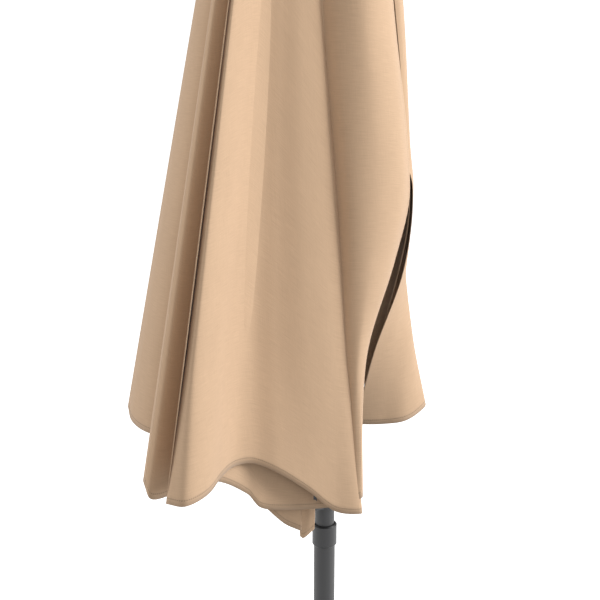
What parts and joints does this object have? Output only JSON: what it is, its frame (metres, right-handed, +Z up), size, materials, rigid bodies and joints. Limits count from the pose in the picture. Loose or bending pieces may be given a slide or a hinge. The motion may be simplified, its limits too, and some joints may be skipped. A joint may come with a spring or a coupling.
{
  "type": "patio umbrella",
  "caption": "Half-round patio umbrella, closed, with hanging folded cloth canopy, two-piece charcoal pole, crank and half-round base.",
  "frame": {"origin": "where the pole's axis meets the ground, at the middle foot pad", "axes": "+Z up along the pole, +Y towards the wall side, +X to its right"},
  "size_m": [0.5999, 0.6233, 2.4186],
  "materials": {
    "canopy_cloth": "fine woven polyester",
    "charcoal_metal": "satin powder coat",
    "collar_plastic": "satin moulded",
    "black_plastic": "moulded",
    "black_rubber": "matte",
    "cast_base": "textured powder coat",
    "steel": "zinc plated",
    "cord": "braided"
  },
  "bodies": {
    "base": {"base_weight": "cast_base", "base_feet": "black_rubber", "base_sleeve": "charcoal_metal", "base_bolts": "steel"},
    "clamp": {"clamp_knob": "black_plastic"},
    "lower": {"lower_pole": "charcoal_metal", "pole_collar": "collar_plastic"},
    "upper": {"upper_pole": "charcoal_metal", "hub": "black_plastic", "hub_pins": "steel", "finial": "black_plastic", "pulley_axle": "steel", "lift_cord": "cord", "crank_housing": "black_plastic"},
    "pulley": {"top_pulley": "black_plastic"},
    "crank": {"cord_spool": "black_plastic", "crank_arm": "steel"},
    "crank_grip": {"crank_knob": "black_plastic"},
    "runner": {"runner": "black_plastic", "runner_rivets": "steel"},
    "rib_1": {"rib_1": "charcoal_metal", "rib_tip_1": "black_plastic", "rib_rivet_1": "steel"},
    "strut_1": {"strut_1": "charcoal_metal"},
    "rib_2": {"rib_2": "charcoal_metal", "rib_tip_2": "black_plastic", "rib_rivet_2": "steel", "canopy_strap": "canopy_cloth"},
    "strut_2": {"strut_2": "charcoal_metal"},
    "rib_3": {"rib_3": "charcoal_metal", "rib_tip_3": "black_plastic", "rib_rivet_3": "steel"},
    "strut_3": {"strut_3": "charcoal_metal"},
    "rib_4": {"rib_4": "charcoal_metal", "rib_tip_4": "black_plastic", "rib_rivet_4": "steel"},
    "strut_4": {"strut_4": "charcoal_metal"},
    "rib_5": {"rib_5": "charcoal_metal", "rib_tip_5": "black_plastic", "rib_rivet_5": "steel"},
    "strut_5": {"strut_5": "charcoal_metal"},
    "gore_1_front": {"gore_1_front": "canopy_cloth"},
    "gore_1_front_tuck": {"gore_1_front_tuck": "canopy_cloth"},
    "gore_1_back": {"gore_1_back": "canopy_cloth"},
    "gore_1_back_tuck": {"gore_1_back_tuck": "canopy_cloth"},
    "gore_2_front": {"gore_2_front": "canopy_cloth"},
    "gore_2_front_tuck": {"gore_2_front_tuck": "canopy_cloth"},
    "gore_2_back": {"gore_2_back": "canopy_cloth"},
    "gore_2_back_tuck": {"gore_2_back_tuck": "canopy_cloth"},
    "gore_3_front": {"gore_3_front": "canopy_cloth"},
    "gore_3_front_tuck": {"gore_3_front_tuck": "canopy_cloth"},
    "gore_3_back": {"gore_3_back": "canopy_cloth"},
    "gore_3_back_tuck": {"gore_3_back_tuck": "canopy_cloth"},
    "gore_4_front": {"gore_4_front": "canopy_cloth"},
    "gore_4_front_tuck": {"gore_4_front_tuck": "canopy_cloth"},
    "gore_4_back": {"gore_4_back": "canopy_cloth"},
    "gore_4_back_tuck": {"gore_4_back_tuck": "canopy_cloth"},
    "wall_flap_1": {"wall_flap_1": "canopy_cloth"},
    "wall_flap_5": {"wall_flap_5": "canopy_cloth"}
  },
  "joints": [
    {"name": "clamp_turn", "type": "hinge", "parent": "base", "child": "clamp", "pos_m": [0, -0.04, 0.287], "axis": [0, -1, 0], "range_deg": [-360, 0]},
    {"name": "pole_turn", "type": "hinge", "parent": "base", "child": "lower", "pos_m": [0, 0, 0.1], "axis": [0, 0, 1], "range_deg": [-90, 90]},
    {"name": "pole_part", "type": "slide", "parent": "lower", "child": "upper", "axis": [0, 0, 1], "range_m": [0, 0.12]},
    {"name": "runner_slide", "type": "slide", "parent": "upper", "child": "runner", "axis": [0, 0, 1], "range_m": [0, 0.71161], "deforming": ["gore_1_front", "gore_1_back", "gore_2_front", "gore_2_back", "gore_3_front", "gore_3_back", "gore_4_front", "gore_4_back", "gore_1_front_tuck", "gore_1_back_tuck", "gore_2_front_tuck", "gore_2_back_tuck", "gore_3_front_tuck", "gore_3_back_tuck", "gore_4_front_tuck", "gore_4_back_tuck", "wall_flap_1", "wall_flap_5"]},
    {"name": "crank_turn", "type": "hinge", "parent": "upper", "child": "crank", "pos_m": [0, -0.0565, 1.025], "axis": [0, -1, 0], "range_deg": [0, 1800.01]},
    {"name": "pulley_spin", "type": "hinge", "parent": "upper", "child": "pulley", "pos_m": [0, 0, 2.31], "axis": [0, 1, 0], "continuous": true},
    {"name": "grip_spin", "type": "hinge", "parent": "crank", "child": "crank_grip", "pos_m": [0.03381, -0.0665, 1.0975], "axis": [0, -1, 0], "continuous": true},
    {"name": "rib_1_fold", "type": "hinge", "parent": "upper", "child": "rib_1", "pos_m": [0.04194, 0.0022, 2.33], "axis": [0.0523, -0.9986, 0], "range_deg": [0, 64.71]},
    {"name": "strut_1_fold", "type": "hinge", "parent": "rib_1", "child": "strut_1", "pos_m": [0.05554, 0.00291, 1.73015], "axis": [0.0523, -0.9986, 0], "range_deg": [-129.41, 0]},
    {"name": "rib_2_fold", "type": "hinge", "parent": "upper", "child": "rib_2", "pos_m": [0.03047, -0.02891, 2.33], "axis": [-0.6884, -0.7254, 0], "range_deg": [0, 64.71]},
    {"name": "strut_2_fold", "type": "hinge", "parent": "rib_2", "child": "strut_2", "pos_m": [0.04034, -0.03828, 1.73015], "axis": [-0.6884, -0.7254, 0], "range_deg": [-129.41, 0]},
    {"name": "rib_3_fold", "type": "hinge", "parent": "upper", "child": "rib_3", "pos_m": [0, -0.042, 2.33], "axis": [-1, 0, 0], "range_deg": [0, 64.71]},
    {"name": "strut_3_fold", "type": "hinge", "parent": "rib_3", "child": "strut_3", "pos_m": [0, -0.05561, 1.73015], "axis": [-1, 0, 0], "range_deg": [-129.41, 0]},
    {"name": "rib_4_fold", "type": "hinge", "parent": "upper", "child": "rib_4", "pos_m": [-0.03047, -0.02891, 2.33], "axis": [-0.6884, 0.7254, 0], "range_deg": [0, 64.71]},
    {"name": "strut_4_fold", "type": "hinge", "parent": "rib_4", "child": "strut_4", "pos_m": [-0.04034, -0.03828, 1.73015], "axis": [-0.6884, 0.7254, 0], "range_deg": [-129.41, 0]},
    {"name": "rib_5_fold", "type": "hinge", "parent": "upper", "child": "rib_5", "pos_m": [-0.04194, 0.0022, 2.33], "axis": [0.0523, 0.9986, 0], "range_deg": [0, 64.71]},
    {"name": "strut_5_fold", "type": "hinge", "parent": "rib_5", "child": "strut_5", "pos_m": [-0.05554, 0.00291, 1.73015], "axis": [0.0523, 0.9986, 0], "range_deg": [-129.41, 0]},
    {"name": "gore_1_front_fold", "type": "hinge", "parent": "rib_1", "child": "gore_1_front", "pos_m": [0.07389, 0.00387, 2.33073], "axis": [0.0227, 0.0012, -0.9997], "range_deg": [0, 15.09]},
    {"name": "gore_1_front_spread", "type": "hinge", "parent": "gore_1_front", "child": "gore_1_front_tuck", "pos_m": [0.07389, 0.00387, 2.33073], "axis": [0.9896, 0.1421, 0.0226], "range_deg": [-4.77, 0]},
    {"name": "gore_1_back_fold", "type": "hinge", "parent": "rib_2", "child": "gore_1_back", "pos_m": [0.05367, -0.05093, 2.33073], "axis": [0.0165, -0.0156, -0.9997], "range_deg": [-131.21, 0]},
    {"name": "gore_1_back_spread", "type": "hinge", "parent": "gore_1_back", "child": "gore_1_back_tuck", "pos_m": [0.05367, -0.05093, 2.33073], "axis": [0.9649, 0.2624, 0.0118], "range_deg": [-7.69, 0]},
    {"name": "gore_2_front_fold", "type": "hinge", "parent": "rib_2", "child": "gore_2_front", "pos_m": [0.05367, -0.05093, 2.33073], "axis": [0.0165, -0.0156, -0.9997], "range_deg": [0, 54.7]},
    {"name": "gore_2_front_spread", "type": "hinge", "parent": "gore_2_front", "child": "gore_2_front_tuck", "pos_m": [0.05367, -0.05093, 2.33073], "axis": [0.9996, 0.0224, 0.0161], "range_deg": [-7.9, 0]},
    {"name": "gore_2_back_fold", "type": "hinge", "parent": "rib_3", "child": "gore_2_back", "pos_m": [0, -0.07399, 2.33073], "axis": [0, -0.0227, -0.9997], "range_deg": [-83.55, 0]},
    {"name": "gore_2_back_spread", "type": "hinge", "parent": "gore_2_back", "child": "gore_2_back_tuck", "pos_m": [0, -0.07399, 2.33073], "axis": [0.9595, 0.2818, -0.0064], "range_deg": [-8.77, 0]},
    {"name": "gore_3_front_fold", "type": "hinge", "parent": "rib_3", "child": "gore_3_front", "pos_m": [0, -0.07399, 2.33073], "axis": [0, -0.0227, -0.9997], "range_deg": [0, 54.3]},
    {"name": "gore_3_front_spread", "type": "hinge", "parent": "gore_3_front", "child": "gore_3_front_tuck", "pos_m": [0, -0.07399, 2.33073], "axis": [0.6994, -0.7145, 0.0162], "range_deg": [-9.47, 0]},
    {"name": "gore_3_back_fold", "type": "hinge", "parent": "rib_4", "child": "gore_3_back", "pos_m": [-0.05367, -0.05093, 2.33073], "axis": [-0.0165, -0.0156, -0.9997], "range_deg": [-81.76, 0]},
    {"name": "gore_3_back_spread", "type": "hinge", "parent": "gore_3_back", "child": "gore_3_back_tuck", "pos_m": [-0.05367, -0.05093, 2.33073], "axis": [0.8801, -0.4748, -0.0071], "range_deg": [-10.31, 0]},
    {"name": "gore_4_front_fold", "type": "hinge", "parent": "rib_4", "child": "gore_4_front", "pos_m": [-0.05367, -0.05093, 2.33073], "axis": [-0.0165, -0.0156, -0.9997], "range_deg": [-34.68, 0]},
    {"name": "gore_4_front_spread", "type": "hinge", "parent": "gore_4_front", "child": "gore_4_front_tuck", "pos_m": [-0.05367, -0.05093, 2.33073], "axis": [-0.9997, 0.019, 0.0162], "range_deg": [-7.43, 0]},
    {"name": "gore_4_back_fold", "type": "hinge", "parent": "rib_5", "child": "gore_4_back", "pos_m": [-0.07389, 0.00387, 2.33073], "axis": [-0.0227, 0.0012, -0.9997], "range_deg": [0, 165.08]},
    {"name": "gore_4_back_spread", "type": "hinge", "parent": "gore_4_back", "child": "gore_4_back_tuck", "pos_m": [-0.07389, 0.00387, 2.33073], "axis": [-0.99, 0.1395, 0.0226], "range_deg": [-10.62, 0]},
    {"name": "wall_flap_1_fold", "type": "hinge", "parent": "rib_1", "child": "wall_flap_1", "pos_m": [0.07389, 0.00387, 2.33073], "axis": [0.0227, 0.0012, -0.9997], "range_deg": [-71.05, 0]},
    {"name": "wall_flap_5_fold", "type": "hinge", "parent": "rib_5", "child": "wall_flap_5", "pos_m": [-0.07389, 0.00387, 2.33073], "axis": [-0.0227, 0.0012, -0.9997], "range_deg": [0, 37.44]}
  ],
  "couplings": [
    {"joint": "crank_turn", "follows": "runner_slide", "rad_per_m": 44.148},
    {"joint": "rib_1_fold", "follows": "runner_slide", "rad_per_m": 1.5869},
    {"joint": "strut_1_fold", "follows": "runner_slide", "rad_per_m": -3.1737},
    {"joint": "rib_2_fold", "follows": "runner_slide", "rad_per_m": 1.5869},
    {"joint": "strut_2_fold", "follows": "runner_slide", "rad_per_m": -3.1737},
    {"joint": "rib_3_fold", "follows": "runner_slide", "rad_per_m": 1.5869},
    {"joint": "strut_3_fold", "follows": "runner_slide", "rad_per_m": -3.1737},
    {"joint": "rib_4_fold", "follows": "runner_slide", "rad_per_m": 1.5869},
    {"joint": "strut_4_fold", "follows": "runner_slide", "rad_per_m": -3.1737},
    {"joint": "rib_5_fold", "follows": "runner_slide", "rad_per_m": 1.5869},
    {"joint": "strut_5_fold", "follows": "runner_slide", "rad_per_m": -3.1737},
    {"joint": "gore_1_front_fold", "follows": "runner_slide", "rad_per_m": 0.36989},
    {"joint": "gore_1_front_spread", "follows": "runner_slide", "rad_per_m": -0.11682},
    {"joint": "gore_1_back_fold", "follows": "runner_slide", "rad_per_m": -3.218},
    {"joint": "gore_1_back_spread", "follows": "runner_slide", "rad_per_m": -0.18844},
    {"joint": "gore_2_front_fold", "follows": "runner_slide", "rad_per_m": 1.3414},
    {"joint": "gore_2_front_spread", "follows": "runner_slide", "rad_per_m": -0.19353},
    {"joint": "gore_2_back_fold", "follows": "runner_slide", "rad_per_m": -2.049},
    {"joint": "gore_2_back_spread", "follows": "runner_slide", "rad_per_m": -0.21495},
    {"joint": "gore_3_front_fold", "follows": "runner_slide", "rad_per_m": 1.3316},
    {"joint": "gore_3_front_spread", "follows": "runner_slide", "rad_per_m": -0.23205},
    {"joint": "gore_3_back_fold", "follows": "runner_slide", "rad_per_m": -2.0051},
    {"joint": "gore_3_back_spread", "follows": "runner_slide", "rad_per_m": -0.2527},
    {"joint": "gore_4_front_fold", "follows": "runner_slide", "rad_per_m": -0.85028},
    {"joint": "gore_4_front_spread", "follows": "runner_slide", "rad_per_m": -0.18199},
    {"joint": "gore_4_back_fold", "follows": "runner_slide", "rad_per_m": 4.0485},
    {"joint": "gore_4_back_spread", "follows": "runner_slide", "rad_per_m": -0.26015},
    {"joint": "wall_flap_1_fold", "follows": "runner_slide", "rad_per_m": -1.7424},
    {"joint": "wall_flap_5_fold", "follows": "runner_slide", "rad_per_m": 0.91812}
  ]
}
